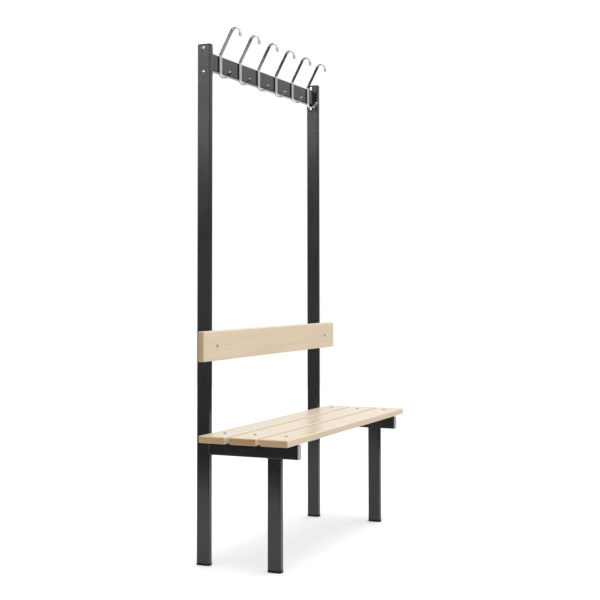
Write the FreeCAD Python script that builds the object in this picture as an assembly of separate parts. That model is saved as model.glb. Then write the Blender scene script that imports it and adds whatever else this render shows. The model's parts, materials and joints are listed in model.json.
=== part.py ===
import FreeCAD, Part
import math
import os

from FreeCAD import Rotation, Vector

# Cloakroom bench: two welded end frames of rectangular steel tube carry a slatted
# pine seat, a backrest board and, between their tops, a rail of bent double hooks.
# Millimetres. X runs along the bench, the sitting side faces -Y and Z is up.
# The origin is on the floor, under the middle of the bench's outline.

# Main sizes
bench_length = 1000.0         # slats and backrest board
overhang = 85.0               # board end to the middle of an end frame
upright_height = 1650.0       # floor to the top of an upright's cap
seat_height = 415.0           # floor to the top of the slats
backrest_rise = 226.5         # seat top to the lower edge of the backrest board
leg_setback = 61.5            # front of the seat to the front of the short legs

# Frame tube, wide side across the bench
tube_depth = 45.0
tube_width = 20.0
tube_wall = 1.5
tube_inner_corner = 1.5

# Planed boards of the seat and the backrest
board_width = 94.0
board_thickness = 22.0
board_edge = 4.0              # rounding of every edge
slat_names = ("back", "middle", "front")
slat_gap = 12.5
seat_setback = 4.0            # upright to the back slat

# Moulded tube ends
foot_height = 7.0
foot_proud = 0.6              # how far a foot stands out past its tube
foot_edge = 2.0
foot_plug = 24.0
cap_flange = 4.0              # on top of an upright
cap_edge = 2.5
bearer_flange = 3.0           # on the front end of a bearer
bearer_edge = 1.0
bearer_plug = 14.0
plug_clearance = 0.25
plug_wall = 1.8
rib_pitch = 6.0
rib_thickness = 1.2
rib_clearance = 0.05

# Hook rail, folded from sheet and open at the back
rail_height = 56.0
rail_depth = 20.0
rail_sheet = 2.0
rail_inner_corner = 1.5
rail_lip = 9.0                # folded lip along the open back
plate_thickness = 4.0         # end plates of the rail
plate_inset = 2.5             # tube face to plate edge
plate_margin = 9.0            # bolt centre to the end of the plate
plate_corner = 4.0
bolt_drop = 14.0              # top of the upright to the upper rail bolt
bolt_rail_gap = 10.5          # rail edge to bolt centre

# Double hooks, bent from flat bar
hook_count = 6
hook_width = 16.0
hook_thickness = 3.0
hook_neck = 2.3               # rail top to the start of the arm's bend
neck_radius = 8.0
arm_lean = 28.5               # degrees from upright
arm_length = 83.0
curl_radius = 17.0
curl_tip = 12.0
lower_drop = 2.2              # rail bottom down to the start of the lower bend
lower_radius = 15.5
lower_turn = 138.0            # degrees
lower_tip = 18.5
tip_corner = 5.0
hook_edge = 0.5               # chamfer along the bar's corners
stud_radius = 2.5
stud_collar = 1.5             # flange at a stud's foot, between the bar and the rail
stud_collar_radius = 4.0
stud_spacing = 30.0
stud_end = 1.5                # stud past its nut
stud_clearance = 0.25
stud_nut_flats = 8.0
stud_nut_height = 4.7

# Screws, bolts and threaded inserts
screw_radius = 3.0
screw_clearance = 0.4
screw_end = 0.5               # chamfer at a screw's tip
screw_head_radius = 6.0
screw_head_height = 2.8
bolt_head_radius = 5.5
bolt_head_height = 3.3
head_rim = 0.8                # straight side of a head, below its dome
socket_flats = 4.0
socket_depth = 1.6
bolt_end = 2.0                # bolt past its nut
nut_flats = 10.0
nut_height = 5.0
insert_radius = 4.5
insert_length = 14.0
insert_flange = 1.5           # holds a board off its tube
insert_flange_radius = 6.5
insert_grip_radius = 6.0      # crimped bulge behind the tube wall
insert_grip = 2.0

# Places that follow from the sizes
frame_spacing = bench_length - 2 * overhang
tube_corner = tube_inner_corner + tube_wall
seat_depth = len(slat_names) * board_width + (len(slat_names) - 1) * slat_gap
overall_depth = foot_proud + tube_depth + seat_setback + seat_depth
front_y = -overall_depth / 2
back_y = overall_depth / 2 - foot_proud
upright_front_y = back_y - tube_depth
upright_mid_y = back_y - tube_depth / 2
leg_front_y = front_y + leg_setback
leg_mid_y = leg_front_y + tube_depth / 2
slat_bottom = seat_height - board_thickness
bearer_top = slat_bottom - insert_flange
bearer_bottom = bearer_top - tube_depth
bearer_mid_z = bearer_top - tube_depth / 2
bearer_end_y = front_y + bearer_flange
tube_top = upright_height - cap_flange
bolt_upper_z = upright_height - bolt_drop
bolt_lower_z = bolt_upper_z - rail_height - 2 * bolt_rail_gap
rail_top = bolt_upper_z - bolt_rail_gap
rail_mid_z = rail_top - rail_height / 2
rail_front_y = upright_mid_y - rail_depth / 2
clear_span = frame_spacing - tube_width
rail_length = clear_span - 2 * plate_thickness
hook_pitch = clear_span / hook_count
backrest_bottom = seat_height + backrest_rise
backrest_mid_z = backrest_bottom + board_width / 2
backrest_front_y = upright_front_y - insert_flange - board_thickness
screw_length = board_thickness + insert_flange + insert_length - screw_clearance
cap_plug = bolt_drop - cap_flange - screw_radius - 2 * screw_clearance

ALONG_X = Vector(1, 0, 0)
ALONG_Y = Vector(0, 1, 0)
ALONG_Z = Vector(0, 0, 1)
UPRIGHT = Rotation()
UPSIDE_DOWN = Rotation(ALONG_X, 180)
TO_BACK = Rotation(ALONG_X, -90)       # turns +Z to +Y
TO_FRONT = Rotation(ALONG_X, 90)       # turns +Z to -Y
TO_RIGHT = Rotation(ALONG_Y, 90)       # turns +Z to +X
TO_LEFT = Rotation(ALONG_Y, -90)       # turns +Z to -X

SIDES = {"left": -1, "right": 1}


def placed(shape, position, rotation=UPRIGHT):
    """A copy of a shape made at the origin, turned and moved to its place."""
    moved = shape.copy()
    moved.Placement = FreeCAD.Placement(position, rotation)
    return moved


def box_between(low, high):
    """Box from its lowest to its highest corner."""
    size = high - low
    return Part.makeBox(size.x, size.y, size.z, low)


def edges_along(shape, axis):
    """Straight edges of a box that run along an axis."""
    return [edge for edge in shape.Edges if abs(edge.tangentAt(edge.FirstParameter).dot(axis)) > 0.999]


def edges_at_height(shape, z):
    """Edges that lie wholly at one height."""
    found = []
    for edge in shape.Edges:
        box = edge.BoundBox
        if abs(box.ZMin - z) < 1e-6 and abs(box.ZMax - z) < 1e-6:
            found.append(edge)
    return found


def rounded_box(low, high, radius, axis):
    """Box whose four edges along one axis are rounded."""
    box = box_between(low, high)
    return box.makeFillet(radius, edges_along(box, axis))


def plug_box(bore, slack, bottom, top):
    """Box that fits a tube's bore with some slack, its corners cut clear of the tube's own."""
    reach = bore - Vector(slack, slack, 0)
    box = box_between(ALONG_Z * bottom - reach, ALONG_Z * top + reach)
    return box.makeChamfer(tube_inner_corner, edges_along(box, ALONG_Z))


def hollow_section(low, high, wall, inner_corner, axis):
    """Rectangular tube that fills a box and is open at both ends."""
    inset = (Vector(1, 1, 1) - axis) * wall
    outer = rounded_box(low, high, inner_corner + wall, axis)
    bore = rounded_box(low + inset, high - inset, inner_corner, axis)
    return outer.cut(bore)


def drill(start, direction, radius, length):
    """Round cutter for a hole."""
    return Part.makeCylinder(radius, length, start, direction)


def revolved(corners):
    """Ring or solid turned about Z from (radius, height) corners."""
    points = [Vector(radius, 0, height) for radius, height in corners]
    profile = Part.Face(Part.makePolygon(points + points[:1]))
    return profile.revolve(Vector(), ALONG_Z, 360)


def hexagon(across_flats, height):
    """Hexagonal prism standing on the origin."""
    corner = across_flats / math.sqrt(3)
    turns = [math.radians(60 * step) for step in range(6)]
    points = [Vector(corner * math.cos(turn), corner * math.sin(turn), 0) for turn in turns]
    return Part.Face(Part.makePolygon(points + points[:1])).extrude(ALONG_Z * height)


def socket_screw(head_radius, head_height, length):
    """Low domed screw with a hexagon socket: head above z = 0, shank below."""
    rise = head_height - head_rim
    dome_radius = (head_radius ** 2 + rise ** 2) / (2 * rise)
    half_turn = math.asin(head_radius / dome_radius) / 2
    dome_middle = head_height - dome_radius
    rim = Vector(head_radius, 0, head_rim)
    swell = Vector(dome_radius * math.sin(half_turn), 0, dome_middle + dome_radius * math.cos(half_turn))
    crown = Vector(0, 0, head_height)
    below = [
        crown,
        Vector(0, 0, -length),
        Vector(screw_radius - screw_end, 0, -length),
        Vector(screw_radius, 0, screw_end - length),
        Vector(screw_radius, 0, 0),
        Vector(head_radius, 0, 0),
        rim,
    ]
    dome = Part.Arc(rim, swell, crown).toShape()
    outline = Part.Wire(Part.makePolygon(below).Edges + [dome])
    screw = Part.Face(outline).revolve(Vector(), ALONG_Z, 360)
    socket = placed(hexagon(socket_flats, head_height), Vector(0, 0, head_height - socket_depth))
    return screw.cut(socket)


def hex_nut(across_flats, height, bore_radius):
    """Plain hexagon nut standing on the origin."""
    return hexagon(across_flats, height).cut(drill(Vector(), ALONG_Z, bore_radius, height))


def threaded_insert():
    """Rivet nut: flange on the outside of a tube wall at z = 0, crimped behind the wall."""
    grip_end = -tube_wall - insert_grip
    return revolved([
        (screw_radius, insert_flange),
        (insert_flange_radius, insert_flange),
        (insert_flange_radius, 0),
        (insert_radius, 0),
        (insert_radius, -tube_wall),
        (insert_grip_radius, -tube_wall),
        (insert_grip_radius, grip_end),
        (insert_radius, grip_end),
        (insert_radius, -insert_length),
        (screw_radius, -insert_length),
    ])


def tube_cap(flange, proud, edge, depth):
    """Moulded tube end: flange below z = 0 and a hollow, ribbed plug above it."""
    reach = Vector(tube_width / 2 + proud, tube_depth / 2 + proud, 0)
    head = rounded_box(ALONG_Z * -flange - reach, reach, tube_corner + proud, ALONG_Z)
    head = head.makeFillet(edge, edges_at_height(head, -flange))
    bore = Vector(tube_width / 2 - tube_wall, tube_depth / 2 - tube_wall, 0)
    plug = plug_box(bore, plug_clearance, 0, depth)
    for step in range(int(depth // rib_pitch)):
        rib_top = rib_pitch * (step + 1)
        plug = plug.fuse(plug_box(bore, rib_clearance, rib_top - rib_thickness, rib_top))
    hollow = plug_clearance + plug_wall
    inside = bore - Vector(hollow, hollow, 0)
    plug = plug.cut(box_between(inside * -1, inside + ALONG_Z * depth))
    return head.fuse(plug).removeSplitter()


def upright(frame_x, inward):
    """Tall tube with holes for the rail bolts and the backrest's insert."""
    half = Vector(tube_width / 2, 0, 0)
    low = Vector(frame_x, upright_front_y, foot_height) - half
    high = Vector(frame_x, back_y, tube_top) + half
    post = hollow_section(low, high, tube_wall, tube_inner_corner, ALONG_Z)
    for z in (bolt_lower_z, bolt_upper_z):
        start = Vector(frame_x - inward * tube_width, upright_mid_y, z)
        hole = drill(start, ALONG_X * inward, screw_radius + screw_clearance, 2 * tube_width)
        post = post.cut(hole)
    seat = Vector(frame_x, upright_front_y - tube_wall, backrest_mid_z)
    return post.cut(drill(seat, ALONG_Y, insert_radius, 3 * tube_wall))


def slat_low_y(index):
    """Front face of a seat slat, counted from the back."""
    back = upright_front_y - seat_setback - index * (board_width + slat_gap)
    return back - board_width


def seat_bearer(frame_x):
    """Horizontal tube under the seat, with a hole for each slat's insert."""
    half = Vector(tube_width / 2, 0, 0)
    low = Vector(frame_x, bearer_end_y, bearer_bottom) - half
    high = Vector(frame_x, upright_front_y, bearer_top) + half
    bearer = hollow_section(low, high, tube_wall, tube_inner_corner, ALONG_Y)
    for index in range(len(slat_names)):
        top = Vector(frame_x, slat_low_y(index) + board_width / 2, bearer_top + tube_wall)
        bearer = bearer.cut(drill(top, ALONG_Z * -1, insert_radius, 3 * tube_wall))
    return bearer


def front_leg(frame_x):
    """Short tube from its foot to the underside of the bearer."""
    half = Vector(tube_width / 2, 0, 0)
    low = Vector(frame_x, leg_front_y, foot_height) - half
    high = Vector(frame_x, leg_front_y + tube_depth, bearer_bottom) + half
    return hollow_section(low, high, tube_wall, tube_inner_corner, ALONG_Z)


def board(low, size, hole_start, hole_direction):
    """Planed board with all its edges eased and a screw hole over each frame."""
    plank = box_between(low, low + size)
    plank = plank.makeFillet(board_edge, plank.Edges)
    for side in SIDES.values():
        start = hole_start + ALONG_X * (side * frame_spacing / 2)
        plank = plank.cut(drill(start, hole_direction, screw_radius + screw_clearance, board_thickness))
    return plank


def seat_slat(index):
    """One slat of the seat, lying on the inserts in the bearers."""
    low = Vector(-bench_length / 2, slat_low_y(index), slat_bottom)
    size = Vector(bench_length, board_width, board_thickness)
    return board(low, size, Vector(0, low.y + board_width / 2, slat_bottom), ALONG_Z)


def backrest():
    """Board standing on edge against the inserts in the fronts of the uprights."""
    low = Vector(-bench_length / 2, backrest_front_y, backrest_bottom)
    size = Vector(bench_length, board_thickness, board_width)
    return board(low, size, Vector(0, backrest_front_y, backrest_mid_z), ALONG_Y)


def hook_x(index):
    """Middle of a hook along the rail, with half a pitch left at each end."""
    return (index - (hook_count - 1) / 2) * hook_pitch


def stud_heights():
    """Heights of the two studs that hold a hook."""
    return (rail_mid_z - stud_spacing / 2, rail_mid_z + stud_spacing / 2)


def hook_rail():
    """Folded channel, open along its back between two lips, with holes for the hooks' studs."""
    low = Vector(-rail_length / 2, rail_front_y, rail_top - rail_height)
    high = Vector(rail_length / 2, rail_front_y + rail_depth, rail_top)
    rail = hollow_section(low, high, rail_sheet, rail_inner_corner, ALONG_X)
    mouth_low = Vector(low.x, high.y - 2 * rail_sheet, low.z + rail_lip)
    mouth_high = Vector(high.x, high.y + rail_sheet, high.z - rail_lip)
    rail = rail.cut(box_between(mouth_low, mouth_high))
    for index in range(hook_count):
        for z in stud_heights():
            start = Vector(hook_x(index), rail_front_y - rail_sheet, z)
            rail = rail.cut(drill(start, ALONG_Y, stud_radius + stud_clearance, 3 * rail_sheet))
    return rail


def rail_end_plate(side):
    """Plate that closes one end of the rail and bolts to the upright's inner face."""
    inner_x = side * (clear_span / 2 - plate_thickness)
    outer_x = side * clear_span / 2
    low = Vector(min(inner_x, outer_x), upright_front_y + plate_inset, bolt_lower_z - plate_margin)
    high = Vector(max(inner_x, outer_x), back_y - plate_inset, bolt_upper_z + plate_margin)
    plate = rounded_box(low, high, plate_corner, ALONG_X)
    for z in (bolt_lower_z, bolt_upper_z):
        start = Vector(low.x - plate_thickness, upright_mid_y, z)
        plate = plate.cut(drill(start, ALONG_X, screw_radius + screw_clearance, 3 * plate_thickness))
    return plate


def heading(degrees):
    """Direction in the hook's plane: 0 is up, 90 is towards the front."""
    turn = math.radians(degrees)
    return Vector(0, -math.sin(turn), math.cos(turn))


def bent_bar(start, first_heading, steps):
    """Flat bar that follows straight runs and bends in the plane x = 0.

    A step is a run, then a bend with the radius of the bar's middle line and a turn in degrees,
    positive from up towards the front. The bar is hook_width wide, about x = 0.
    """
    sides = {-hook_thickness / 2: [], hook_thickness / 2: []}
    point = start
    angle = first_heading
    for run, radius, turn in steps:
        side = heading(angle + 90)
        after = point + heading(angle) * run
        for offset, edges in sides.items():
            edges.append(Part.makeLine(point + side * offset, after + side * offset))
        point = after
        if turn:
            bend = math.copysign(radius, turn)
            centre = point + side * bend
            spokes = [heading(angle + 90 + turn * share) for share in (0, 0.5, 1)]
            for offset, edges in sides.items():
                arc_points = [centre + spoke * (offset - bend) for spoke in spokes]
                edges.append(Part.Arc(*arc_points).toShape())
            point = centre - spokes[-1] * bend
            angle += turn
    near, far = sides.values()
    start_cap = Part.makeLine(near[0].valueAt(near[0].FirstParameter), far[0].valueAt(far[0].FirstParameter))
    end_cap = Part.makeLine(near[-1].valueAt(near[-1].LastParameter), far[-1].valueAt(far[-1].LastParameter))
    outline = Part.Wire(Part.__sortEdges__(near + far + [start_cap, end_cap]))
    face = Part.Face(outline)
    face.translate(ALONG_X * (-hook_width / 2))
    return face.extrude(ALONG_X * hook_width)


def face_normal(face, point):
    """Normal of a face at a point on it."""
    return face.normalAt(*face.Surface.parameter(point))


def sharp_edges(shape):
    """Edges where two faces meet at a corner, not smoothly."""
    found = []
    for edge in shape.Edges:
        middle = edge.valueAt((edge.FirstParameter + edge.LastParameter) / 2)
        first, second = [face_normal(face, middle) for face in shape.ancestorsOfType(edge, Part.Face)]
        if abs(first.dot(second)) < 0.9:
            found.append(edge)
    return found


def double_hook():
    """Hook bent from flat bar, at x = 0: two studs into the rail, long arm above, short hook below."""
    bar_back_y = rail_front_y - stud_collar
    back = Vector(0, bar_back_y - hook_thickness / 2, rail_mid_z)
    arm_steps = [
        (rail_height / 2 + hook_neck, neck_radius, arm_lean),
        (arm_length, curl_radius, 180 - arm_lean),
        (curl_tip, 0, 0),
    ]
    lower_steps = [
        (rail_height / 2 + lower_drop, lower_radius, -lower_turn),
        (lower_tip, 0, 0),
    ]
    bar = bent_bar(back, 0, arm_steps).fuse(bent_bar(back, 180, lower_steps)).removeSplitter()
    short_edges = [edge for edge in bar.Edges if abs(edge.Length - hook_thickness) < 0.001]
    bar = bar.makeFillet(tip_corner, short_edges)
    bar = bar.makeChamfer(hook_edge, sharp_edges(bar))
    stud_length = stud_collar + rail_sheet + stud_nut_height + stud_end
    for z in stud_heights():
        foot = Vector(0, bar_back_y, z)
        stud = Part.makeCylinder(stud_radius, stud_length, foot, ALONG_Y)
        collar = Part.makeCylinder(stud_collar_radius, stud_collar, foot, ALONG_Y)
        bar = bar.fuse([stud, collar])
    return bar


def hook_nuts():
    """Nuts on the studs, against the inside of the rail's front wall."""
    nut = hex_nut(stud_nut_flats, stud_nut_height, stud_radius)
    nuts = []
    for index in range(hook_count):
        for z in stud_heights():
            nuts.append(placed(nut, Vector(hook_x(index), rail_front_y + rail_sheet, z), TO_BACK))
    return Part.makeCompound(nuts)


def rail_bolts():
    """Domed bolts through the uprights, heads outside."""
    length = tube_width + plate_thickness + nut_height + bolt_end
    bolt = socket_screw(bolt_head_radius, bolt_head_height, length)
    bolts = []
    for side in SIDES.values():
        outside = side * (frame_spacing + tube_width) / 2
        for z in (bolt_lower_z, bolt_upper_z):
            turn = TO_RIGHT if side > 0 else TO_LEFT
            bolts.append(placed(bolt, Vector(outside, upright_mid_y, z), turn))
    return Part.makeCompound(bolts)


def rail_nuts():
    """Nuts of the rail bolts, against the end plates."""
    nut = hex_nut(nut_flats, nut_height, screw_radius)
    nuts = []
    for side in SIDES.values():
        inside = side * (clear_span / 2 - plate_thickness)
        for z in (bolt_lower_z, bolt_upper_z):
            turn = TO_LEFT if side > 0 else TO_RIGHT
            nuts.append(placed(nut, Vector(inside, upright_mid_y, z), turn))
    return Part.makeCompound(nuts)


def over_each_frame(shape, y, z, rotation):
    """A copy of a shape on the middle line of each end frame."""
    return [placed(shape, Vector(side * frame_spacing / 2, y, z), rotation) for side in SIDES.values()]


def seat_fixings(shape, z):
    """Copies of a fixing at the middle of each slat, over each bearer."""
    copies = []
    for index in range(len(slat_names)):
        copies += over_each_frame(shape, slat_low_y(index) + board_width / 2, z, UPRIGHT)
    return Part.makeCompound(copies)


pieces = {}
foot = tube_cap(foot_height, foot_proud, foot_edge, foot_plug)
upright_cap = tube_cap(cap_flange, 0, cap_edge, cap_plug)
bearer_cap = tube_cap(bearer_flange, 0, bearer_edge, bearer_plug)
for side_name, side in SIDES.items():
    frame_x = side * frame_spacing / 2
    pieces[side_name + "_upright"] = upright(frame_x, -side)
    pieces[side_name + "_seat_bearer"] = seat_bearer(frame_x)
    pieces[side_name + "_front_leg"] = front_leg(frame_x)
    pieces[side_name + "_back_foot"] = placed(foot, Vector(frame_x, upright_mid_y, foot_height))
    pieces[side_name + "_front_foot"] = placed(foot, Vector(frame_x, leg_mid_y, foot_height))
    cap_seat = Vector(frame_x, upright_mid_y, tube_top)
    pieces[side_name + "_upright_cap"] = placed(upright_cap, cap_seat, UPSIDE_DOWN)
    bearer_cap_seat = Vector(frame_x, bearer_end_y, bearer_mid_z)
    pieces[side_name + "_bearer_cap"] = placed(bearer_cap, bearer_cap_seat, TO_BACK)
    pieces[side_name + "_rail_end_plate"] = rail_end_plate(side)

for index, name in enumerate(slat_names):
    pieces["seat_slat_" + name] = seat_slat(index)
pieces["backrest_board"] = backrest()
pieces["hook_rail"] = hook_rail()

hook = double_hook()
for index in range(hook_count):
    pieces["hook_" + str(index + 1)] = placed(hook, Vector(hook_x(index), 0, 0))

insert = threaded_insert()
seat_screw = socket_screw(screw_head_radius, screw_head_height, screw_length)
backrest_screws = over_each_frame(seat_screw, backrest_front_y, backrest_mid_z, TO_FRONT)
backrest_inserts = over_each_frame(insert, upright_front_y, backrest_mid_z, TO_FRONT)
pieces["hook_nuts"] = hook_nuts()
pieces["rail_bolts"] = rail_bolts()
pieces["rail_nuts"] = rail_nuts()
pieces["seat_screws"] = seat_fixings(seat_screw, seat_height)
pieces["seat_inserts"] = seat_fixings(insert, bearer_top)
pieces["backrest_screws"] = Part.makeCompound(backrest_screws)
pieces["backrest_inserts"] = Part.makeCompound(backrest_inserts)

os.makedirs("parts", exist_ok=True)
for name, shape in pieces.items():
    shape.exportStep("parts/" + name + ".step")
    print(name, len(shape.Solids), "solid(s)", "valid" if shape.isValid() else "NOT VALID")
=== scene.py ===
import json
import math

import bmesh
import bpy
from mathutils import Matrix, Vector


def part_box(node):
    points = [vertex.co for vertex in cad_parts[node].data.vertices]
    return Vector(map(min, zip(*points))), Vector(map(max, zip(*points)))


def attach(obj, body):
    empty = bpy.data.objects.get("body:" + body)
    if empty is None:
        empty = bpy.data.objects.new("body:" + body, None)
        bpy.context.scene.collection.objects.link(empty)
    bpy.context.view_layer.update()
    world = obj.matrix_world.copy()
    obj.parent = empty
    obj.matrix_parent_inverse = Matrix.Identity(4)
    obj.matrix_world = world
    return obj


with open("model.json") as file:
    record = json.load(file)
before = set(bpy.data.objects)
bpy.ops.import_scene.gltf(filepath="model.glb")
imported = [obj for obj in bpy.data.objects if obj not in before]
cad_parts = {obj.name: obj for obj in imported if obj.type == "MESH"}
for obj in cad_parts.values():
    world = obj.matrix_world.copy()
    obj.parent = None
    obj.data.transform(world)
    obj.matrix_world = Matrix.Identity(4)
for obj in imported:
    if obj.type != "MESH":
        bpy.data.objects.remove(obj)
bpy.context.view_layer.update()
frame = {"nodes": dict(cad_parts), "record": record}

scene = bpy.context.scene

# Sockets of a Mix node: its factor and its two values, then its result
COLOUR_MIX, COLOUR_RESULT = (0, 6, 7), 2
NUMBER_MIX, NUMBER_RESULT = (0, 2, 3), 0


# Node helpers

def new_material(name):
    """A node material with its principled shader and object coordinates."""
    material = bpy.data.materials.new(name)
    material.use_nodes = True
    tree = material.node_tree
    shader = tree.nodes["Principled BSDF"]
    place = tree.nodes.new("ShaderNodeTexCoord").outputs["Object"]
    return material, tree, shader, place


def feed(tree, socket, value):
    """Links a node's output to a socket, or sets a plain value on it."""
    if isinstance(value, bpy.types.NodeSocket):
        tree.links.new(value, socket)
    else:
        socket.default_value = value


def connect(tree, node, **sockets):
    """Sets or links a node's sockets by name."""
    for socket_name, value in sockets.items():
        feed(tree, node.inputs[socket_name.replace("_", " ")], value)


def put(tree, kind, settings=None, **sockets):
    """Adds a node, sets its options, and sets or links its sockets by name."""
    node = tree.nodes.new(kind)
    for option, value in (settings or {}).items():
        setattr(node, option, value)
    connect(tree, node, **sockets)
    return node


def stretched(tree, place, scale, location=(0, 0, 0)):
    """Object coordinates stretched and moved for one pattern."""
    return put(tree, "ShaderNodeMapping", Vector=place, Scale=scale, Location=location).outputs["Vector"]


def noise(tree, vector, scale, detail=3.0, roughness=0.5):
    """Noise value, 0 to 1."""
    node = put(tree, "ShaderNodeTexNoise", Vector=vector, Scale=scale, Detail=detail, Roughness=roughness)
    return node.outputs["Fac"]


def ramp(tree, value, stops):
    """Colour along a value, from (position, colour) stops."""
    node = put(tree, "ShaderNodeValToRGB", Fac=value)
    band = node.color_ramp
    while len(band.elements) < len(stops):
        band.elements.new(1.0)
    for element, (position, colour) in zip(band.elements, stops):
        element.position = position
        element.color = (*colour, 1.0)
    return node.outputs["Color"]


def grey(level):
    """A colour without hue."""
    return (level, level, level)


def grey_ramp(tree, value, stops):
    """Grey along a value, from (position, level) stops."""
    return ramp(tree, value, [(position, grey(level)) for position, level in stops])


def spread(tree, value, low, high, from_low=0.0, from_high=1.0):
    """A value carried from one range to another, and held at its ends."""
    node = put(tree, "ShaderNodeMapRange", Value=value, From_Min=from_low, From_Max=from_high,
               To_Min=low, To_Max=high)
    return node.outputs["Result"]


def opaque(colour):
    """A plain colour with its alpha, or a socket as it is."""
    return colour if isinstance(colour, bpy.types.NodeSocket) else (*colour, 1.0)


def blend_colour(tree, factor, first, second, mode="MIX"):
    """Two colours mixed."""
    node = put(tree, "ShaderNodeMix", {"data_type": "RGBA", "blend_type": mode})
    for index, value in zip(COLOUR_MIX, (factor, opaque(first), opaque(second))):
        feed(tree, node.inputs[index], value)
    return node.outputs[COLOUR_RESULT]


def blend_number(tree, factor, first, second):
    """Two numbers mixed."""
    node = put(tree, "ShaderNodeMix")
    for index, value in zip(NUMBER_MIX, (factor, first, second)):
        feed(tree, node.inputs[index], value)
    return node.outputs[NUMBER_RESULT]


def work_out(tree, operation, *values):
    """The result of a Math node."""
    node = put(tree, "ShaderNodeMath", {"operation": operation})
    for socket, value in zip(node.inputs, values):
        feed(tree, socket, value)
    return node.outputs["Value"]


def toward(tree, direction, aim):
    """How much a direction points the way of an aim, -1 to 1."""
    node = put(tree, "ShaderNodeVectorMath", {"operation": "DOT_PRODUCT"})
    for socket, value in zip(node.inputs, (direction, Vector(aim).normalized())):
        feed(tree, socket, value)
    return node.outputs["Value"]


def seen_straight(tree, path):
    """1 for what the camera sees, also through something clear, and 0 for other light."""
    return work_out(tree, "MAXIMUM", path.outputs["Is Camera Ray"], path.outputs["Is Transmission Ray"])


def bump(tree, shader, height, distance, strength, under=None):
    """Relief on a shader, over an earlier relief if there is one."""
    node = put(tree, "ShaderNodeBump", Height=height, Distance=distance, Strength=strength)
    if under is not None:
        connect(tree, node, Normal=under)
    connect(tree, shader, Normal=node.outputs["Normal"])
    return node.outputs["Normal"]


# Finishes

def powder_coat():
    """Semi-gloss black powder coat: slight orange peel and faint unevenness of gloss."""
    material, tree, shader, place = new_material("powder_coat")
    cloud = noise(tree, place, 9.0, 4.0)
    speckle = noise(tree, place, 1600.0, 2.0)
    peel = noise(tree, place, 420.0, 2.0, 0.4)
    deep_black, soft_black = (0.0165, 0.0168, 0.0175), (0.0195, 0.0198, 0.0206)
    fleck_black = (0.022, 0.022, 0.023)
    tone = ramp(tree, cloud, [(0.3, deep_black), (0.7, soft_black)])
    flecked = blend_colour(tree, spread(tree, speckle, 0.0, 0.3, 0.6, 0.8), tone, fleck_black)
    sheen = spread(tree, cloud, 0.15, 0.19, 0.3, 0.7)
    connect(tree, shader, Base_Color=flecked, Roughness=sheen, IOR=1.55)
    relief = bump(tree, shader, peel, 0.0001, 0.1)
    bump(tree, shader, speckle, 0.00003, 0.2, relief)
    return material


def pine(name, board, heart, lean, end_tone):
    """Lacquered pine, sawn so that the log's heart runs beside the board's middle line, a little askew."""
    material, tree, shader, place = new_material(name)
    low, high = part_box(board)
    centred = put(tree, "ShaderNodeMapping", {"vector_type": "TEXTURE"}, Vector=place,
                  Location=(low + high) / 2, Rotation=(0.0, *lean)).outputs["Vector"]
    rings = put(tree, "ShaderNodeTexWave",
                {"wave_type": "RINGS", "rings_direction": "X", "wave_profile": "SAW"},
                Vector=stretched(tree, centred, (0.12, 1.0, 1.0), (0.0, *heart)), Scale=62.0,
                Distortion=4.5, Detail=3.0, Detail_Scale=0.35, Detail_Roughness=0.55).outputs["Fac"]
    fibre = noise(tree, stretched(tree, centred, (6.0, 900.0, 900.0)), 1.0, 4.0, 0.6)
    streak = noise(tree, stretched(tree, centred, (1.5, 55.0, 55.0), (0.0, *heart)), 1.0)
    blotch = noise(tree, stretched(tree, centred, (4.0, 20.0, 20.0), (*heart, 0.0)), 1.0, 3.0, 0.6)
    pores = noise(tree, stretched(tree, centred, (300.0, 1500.0, 1500.0)), 1.0, 2.0)

    early_wood, middle_wood = (0.770, 0.638, 0.470), (0.768, 0.632, 0.460)
    late_wood, ring_edge = (0.728, 0.582, 0.413), (0.755, 0.615, 0.445)
    pale_streak, warm_blotch, dark_fibre = (0.795, 0.680, 0.520), (0.760, 0.575, 0.420), (0.60, 0.45, 0.30)
    long_grain = ramp(tree, rings, [
        (0.0, early_wood), (0.5, middle_wood), (0.87, late_wood), (1.0, ring_edge)])
    streaked = spread(tree, streak, 0.0, 0.6, 0.35, 0.75)
    long_grain = blend_colour(tree, streaked, long_grain, pale_streak)
    blotched = spread(tree, blotch, 0.0, 0.45, 0.5, 0.78)
    long_grain = blend_colour(tree, blotched, long_grain, warm_blotch)
    fibred = spread(tree, fibre, 0.0, 0.2, 0.5, 0.85)
    long_grain = blend_colour(tree, fibred, long_grain, dark_fibre, "MULTIPLY")

    tone = Vector(end_tone)
    end_grain = ramp(tree, rings, [(0.0, tone * 1.1), (0.5, tone), (0.85, tone * 0.56), (1.0, tone * 0.85)])
    end_grain = blend_colour(tree, spread(tree, pores, 0.0, 0.4, 0.5, 0.75), end_grain, tone * 0.7)

    # The end grain shows where a face looks along the board
    facing = tree.nodes.new("ShaderNodeNewGeometry").outputs["Normal"]
    lengthways = work_out(tree, "ABSOLUTE", put(tree, "ShaderNodeSeparateXYZ", Vector=facing).outputs["X"])
    at_end = spread(tree, lengthways, 0.0, 1.0, 0.76, 0.96)
    lacquer = spread(tree, streak, 0.28, 0.36, 0.3, 0.7)
    sawn = spread(tree, pores, 0.45, 0.6)
    connect(tree, shader, Base_Color=blend_colour(tree, at_end, long_grain, end_grain),
            Roughness=blend_number(tree, at_end, lacquer, sawn), IOR=1.45)
    relief = bump(tree, shader, fibre, 0.0002, 0.2)
    bump(tree, shader, rings, 0.00025, 0.12, relief)
    return material


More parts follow.
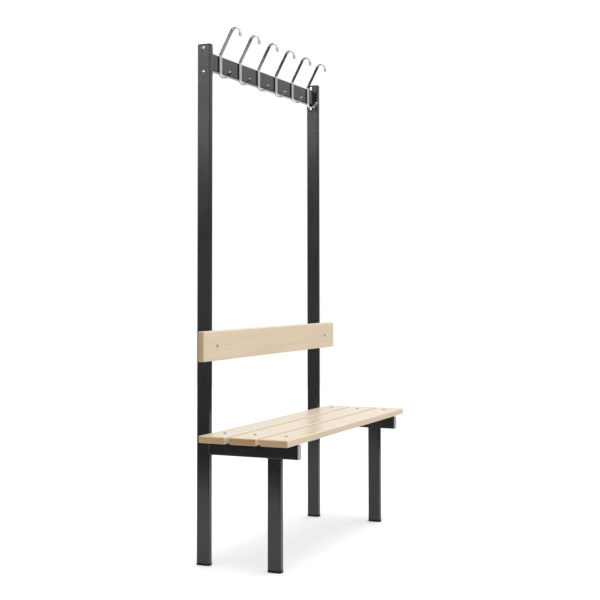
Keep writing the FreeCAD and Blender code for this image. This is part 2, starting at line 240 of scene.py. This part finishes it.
def polished_chrome():
    """Bright chrome plate with faint polishing haze."""
    material, tree, shader, place = new_material("polished_chrome")
    haze = noise(tree, place, 60.0, 4.0)
    fine = noise(tree, stretched(tree, place, (300.0, 300.0, 60.0)), 1.0)
    tone = ramp(tree, haze, [(0.3, (0.50, 0.505, 0.51)), (0.7, (0.55, 0.555, 0.56))])
    connect(tree, shader, Base_Color=tone, Roughness=spread(tree, haze, 0.05, 0.11, 0.3, 0.7), Metallic=1.0)
    bump(tree, shader, fine, 0.00004, 0.15)
    return material


def zinc_plate(name, dark, light):
    """Zinc-plated steel with faint crystal patches."""
    material, tree, shader, place = new_material(name)
    spangle = put(tree, "ShaderNodeTexVoronoi", Vector=place, Scale=900.0).outputs["Color"]
    patch = put(tree, "ShaderNodeSeparateColor", Color=spangle).outputs["Red"]
    tone = grey_ramp(tree, patch, [(0.0, dark), (1.0, light)])
    connect(tree, shader, Base_Color=tone, Roughness=spread(tree, patch, 0.26, 0.40), Metallic=1.0)
    bump(tree, shader, noise(tree, place, 1400.0), 0.00005, 0.3)
    return material


def moulded_plastic(name, dark, light, gloss):
    """Fine-grained moulded plastic of the tube ends."""
    material, tree, shader, place = new_material(name)
    grain = noise(tree, place, 1800.0, 2.0)
    cloud = noise(tree, place, 25.0)
    tone = grey_ramp(tree, cloud, [(0.3, dark), (0.7, light)])
    connect(tree, shader, Base_Color=tone, Roughness=spread(tree, grain, 0.45, 0.6, 0.3, 0.7),
            IOR=1.45, Specular_IOR_Level=gloss)
    bump(tree, shader, grain, 0.0001, 0.4)
    return material


slot_finishes = {
    "frame_paint": powder_coat(),
    "hook_chrome": polished_chrome(),
    "fixing_steel": zinc_plate("bright_zinc", 0.50, 0.62),
    "black_plastic": moulded_plastic("black_plastic", 0.006, 0.009, 0.15),
    "grey_plastic": moulded_plastic("grey_plastic", 0.40, 0.46, 0.5),
}

# Boards: the heart's offset across and up, the lean of the grain, and the colour of the cut ends
pale_end, plain_end, brown_end = (0.69, 0.455, 0.232), (0.69, 0.475, 0.272), (0.555, 0.33, 0.155)
own_finishes = {
    "seat_slat_back": pine("pine_back_slat", "seat_slat_back", (0.012, 0.058), (0.035, -0.012), pale_end),
    "seat_slat_middle": pine("pine_middle_slat", "seat_slat_middle", (-0.026, 0.075), (-0.03, 0.02),
                             brown_end),
    "seat_slat_front": pine("pine_front_slat", "seat_slat_front", (0.018, 0.092), (0.028, 0.015), pale_end),
    "backrest_board": pine("pine_backrest", "backrest_board", (0.075, 0.03), (0.006, 0.012), plain_end),
    # Both screw zincs are darker than the bolts' bright zinc: painted shade and painted dark reflection on
    # the screw heads, deepest on the seat screws
    "seat_screws": zinc_plate("shaded_zinc", 0.26, 0.34),
    "backrest_screws": zinc_plate("half_shaded_zinc", 0.38, 0.46),
}

for entry in frame["record"]["subparts"]:
    node = frame["nodes"][entry["node"]]
    finish = own_finishes.get(entry["node"]) or slot_finishes[entry["material_slot"]]
    if node.material_slots:
        node.material_slots[0].material = finish
    else:
        node.data.materials.append(finish)


# Welds

def weld_run(mesh, start, end, radius, outward):
    """A row of overlapping weld ripples from start to end, leaning the way the torch moved."""
    ripple_pitch, ripple_length, ripple_height = radius * 0.8, radius * 0.75, radius * 0.85
    along = end - start
    count = max(2, round(along.length / ripple_pitch))
    side = outward.cross(along.normalized())
    turn = Matrix((along.normalized(), side, outward)).transposed().to_4x4()
    lean = Matrix.Rotation(math.radians(35), 4, "Y")
    size = Matrix.Diagonal((ripple_length, radius, ripple_height, 1.0))
    for step in range(count):
        wander = radius * 0.08 * math.sin(step * 2.4)
        place = Matrix.Translation(start + along * (step + 0.5) / count + side * wander)
        bmesh.ops.create_uvsphere(mesh, u_segments=10, v_segments=6, radius=1.0,
                                  matrix=place @ turn @ lean @ size)


def finished_piece(mesh, name, slot):
    """Turns a bmesh into a smooth piece with a slot's finish, which rides with the bench."""
    data = bpy.data.meshes.new(name)
    mesh.to_mesh(data)
    mesh.free()
    for face in data.polygons:
        face.use_smooth = True
    data.materials.append(slot_finishes[slot])
    piece = bpy.data.objects.new(name, data)
    scene.collection.objects.link(piece)
    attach(piece, "root")


def frame_welds(side):
    """Welds that join the bearer to the upright and the short leg to the bearer."""
    mesh = bmesh.new()
    upright_low, upright_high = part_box(side + "_upright")
    bearer_low, bearer_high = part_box(side + "_seat_bearer")
    leg_low, leg_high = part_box(side + "_front_leg")
    inset = 0.0025                 # run's end to the tube's side
    groove = 0.0009                # how deep a flush seam's bead lies
    radius = 0.0021
    seam_radius = radius * 0.8
    left, right = upright_low.x, upright_high.x
    joint_y = upright_low.y
    for z, up in ((bearer_high.z, 1), (bearer_low.z, -1)):
        run = [Vector((x, joint_y, z)) for x in (left + inset, right - inset)]
        weld_run(mesh, *run, radius, Vector((0, -1, up)).normalized())
    for y, forward in ((leg_low.y, -1), (leg_high.y, 1)):
        run = [Vector((x, y, bearer_low.z)) for x in (left + inset, right - inset)]
        weld_run(mesh, *run, radius, Vector((0, forward, -1)).normalized())
    for x, out in ((left, -1), (right, 1)):
        seam_x = x - out * groove
        run = [Vector((seam_x, joint_y + groove, z)) for z in (bearer_low.z + inset, bearer_high.z - inset)]
        weld_run(mesh, *run, seam_radius, Vector((out, 0, 0)))
        run = [Vector((seam_x, y, bearer_low.z + groove)) for y in (leg_low.y + inset, leg_high.y - inset)]
        weld_run(mesh, *run, seam_radius, Vector((out, 0, 0)))
    finished_piece(mesh, side + "_frame_welds", "frame_paint")


def rail_welds():
    """Welds round the ends of the hook rail, against its end plates."""
    mesh = bmesh.new()
    low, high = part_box("hook_rail")
    inset, radius = 0.003, 0.0017
    for x, inward in ((low.x, 1), (high.x, -1)):
        for z, up in ((low.z, -1), (high.z, 1)):
            run = [Vector((x, y, z)) for y in (low.y + inset, high.y - inset)]
            weld_run(mesh, *run, radius, Vector((inward, 0, up)).normalized())
        run = [Vector((x, low.y, z)) for z in (low.z + inset, high.z - inset)]
        weld_run(mesh, *run, radius, Vector((inward, -1, 0)).normalized())
    finished_piece(mesh, "rail_welds", "frame_paint")


frame_welds("left")
frame_welds("right")
rail_welds()


# Studio

view_axis = (0.919, 0.394, 0.0)        # level direction in which the camera looks
front_aim = (0.45, -0.85, 0.3)         # middle of the soft front light
lamps_aim = (-0.865, 0.45, 0.22)       # middle of the two bright lamps
floor_near, floor_far = -1.35, 6.0     # floor's ends along the view, from the frame's origin
floor_width = 3.2
seen_lift = 0.27                       # glow that brings the lit floor to white
mirrored_lift = 0.50                   # the same for the floor in reflections


def lit_floor():
    """Pale floor that shows as white and keeps the bench's soft shadow."""
    mesh = bmesh.new()
    leftward = Vector((-view_axis[1], view_axis[0], 0.0))
    turn = Matrix((Vector(view_axis), leftward, Vector((0, 0, 1)))).transposed().to_4x4()
    middle = Matrix.Translation(((floor_near + floor_far) / 2, 0.0, 0.0))
    size = Matrix.Diagonal(((floor_far - floor_near) / 2, floor_width / 2, 1.0, 1.0))
    bmesh.ops.create_grid(mesh, x_segments=1, y_segments=1, size=1.0, matrix=turn @ middle @ size)
    data = bpy.data.meshes.new("floor")
    mesh.to_mesh(data)
    mesh.free()
    floor = bpy.data.objects.new("floor", data)
    scene.collection.objects.link(floor)

    material, tree, shader, place = new_material("floor_paper")
    tree.nodes.remove(shader)
    path = tree.nodes.new("ShaderNodeLightPath")
    seen = seen_straight(tree, path)
    cloud = noise(tree, place, 40.0)
    dim_paper = grey_ramp(tree, cloud, [(0.3, 0.49), (0.7, 0.51)])
    white_paper = ramp(tree, cloud, [(0.3, (0.88, 0.89, 0.905)), (0.7, (0.90, 0.91, 0.925))])
    paper = put(tree, "ShaderNodeBsdfDiffuse", Color=blend_colour(tree, seen, dim_paper, white_paper))
    mirrored = spread(tree, path.outputs["Is Glossy Ray"], 0.0, mirrored_lift)
    lift = put(tree, "ShaderNodeEmission", Strength=spread(tree, seen, mirrored, seen_lift))
    both = tree.nodes.new("ShaderNodeAddShader")
    for socket, layer in zip(both.inputs, (paper, lift)):
        feed(tree, socket, layer.outputs[0])
    connect(tree, tree.nodes["Material Output"], Surface=both.outputs[0])
    data.materials.append(material)


def studio_world():
    """White background and soft front light. Reflections see a room that is dim at eye level and pale
    above, with a white far wall, and two lamps with a dark strip between them on the near side."""
    world = bpy.data.worlds.new("studio")
    world.use_nodes = True
    scene.world = world
    tree = world.node_tree
    direction = tree.nodes.new("ShaderNodeTexCoord").outputs["Generated"]

    front = spread(tree, toward(tree, direction, front_aim), 0.0, 1.0, -1.0, 1.0)
    soft = grey_ramp(tree, front, [(0.0, 0.34), (0.45, 0.54), (1.0, 1.36)])

    height = put(tree, "ShaderNodeSeparateXYZ", Vector=direction).outputs["Z"]
    level = spread(tree, height, 0.0, 1.0, -0.5, 0.5)
    right_side = grey_ramp(tree, level, [
        (0.05, 0.05), (0.18, 0.5), (0.227, 0.62), (0.234, 0.03), (0.25, 0.07), (0.43, 0.05), (0.48, 0.26),
        (0.57, 0.14), (0.60, 0.2), (0.63, 0.72), (0.665, 0.74), (0.70, 0.92), (0.80, 1.5), (1.0, 1.5)])
    eye_level = [(0.36, 0.05), (0.42, 0.3), (0.47, 0.55), (0.53, 0.35)]
    near_side = grey_ramp(tree, level, [*eye_level, (0.60, 0.45), (0.735, 0.75), (0.77, 1.3), (1.0, 1.2)])
    lamps = grey_ramp(tree, level, [
        *eye_level, (0.60, 0.1), (0.628, 0.1), (0.634, 7.0), (0.646, 7.0), (0.653, 0.1),
        (0.735, 0.15), (0.765, 13.5), (0.86, 13.5), (0.91, 1.8)])
    on_lamps = spread(tree, toward(tree, direction, lamps_aim), 0.0, 1.0, 0.80, 0.93)
    near_side = blend_colour(tree, on_lamps, near_side, lamps)

    depth = toward(tree, direction, view_axis)
    walls = blend_colour(tree, spread(tree, depth, 0.0, 1.0, -0.2, 0.4), near_side, right_side)
    mirrored = blend_colour(tree, spread(tree, depth, 0.0, 1.0, 0.74, 0.9), walls, grey(1.0))

    path = tree.nodes.new("ShaderNodeLightPath")
    room = blend_colour(tree, path.outputs["Is Glossy Ray"], soft, mirrored)
    shown = blend_colour(tree, seen_straight(tree, path), room, grey(1.0))
    connect(tree, tree.nodes["Background"], Color=shown)


def overhead_lamp():
    """Wide soft light from above, a little to the front and the left."""
    data = bpy.data.lights.new("overhead", "SUN")
    data.energy = 1.02
    data.color = (0.92, 0.975, 1.07)
    data.angle = math.radians(35)
    lamp = bpy.data.objects.new("overhead", data)
    lamp.rotation_euler = (math.radians(3.5), math.radians(-5), 0.0)
    scene.collection.objects.link(lamp)


lit_floor()
studio_world()
overhead_lamp()


# Camera, at the place that the photograph's edges give

camera_place = (-3.58865, -1.67603, 0.87176)
camera_turn, camera_pitch, camera_roll = -66.796, 2.351, -0.169     # degrees


def photo_camera():
    """Pinhole camera with the picture's own framing."""
    turn, pitch, roll = (math.radians(angle) for angle in (camera_turn, camera_pitch, camera_roll))
    forward = Vector((-math.sin(turn) * math.cos(pitch), math.cos(turn) * math.cos(pitch), math.sin(pitch)))
    level_right = Vector((math.cos(turn), math.sin(turn), 0.0))
    level_up = level_right.cross(forward)
    right = math.cos(roll) * level_right + math.sin(roll) * level_up
    up = math.cos(roll) * level_up - math.sin(roll) * level_right
    data = bpy.data.cameras.new("photo_camera")
    data.sensor_width = 36.0
    data.lens = 68.689
    data.shift_x = -0.06813
    data.shift_y = -0.09985
    data.clip_end = 200.0
    camera = bpy.data.objects.new("photo_camera", data)
    scene.collection.objects.link(camera)
    basis = Matrix((right, up, -forward)).transposed().to_4x4()
    camera.matrix_world = Matrix.Translation(camera_place) @ basis
    scene.camera = camera


photo_camera()
scene.view_settings.view_transform = "Standard"
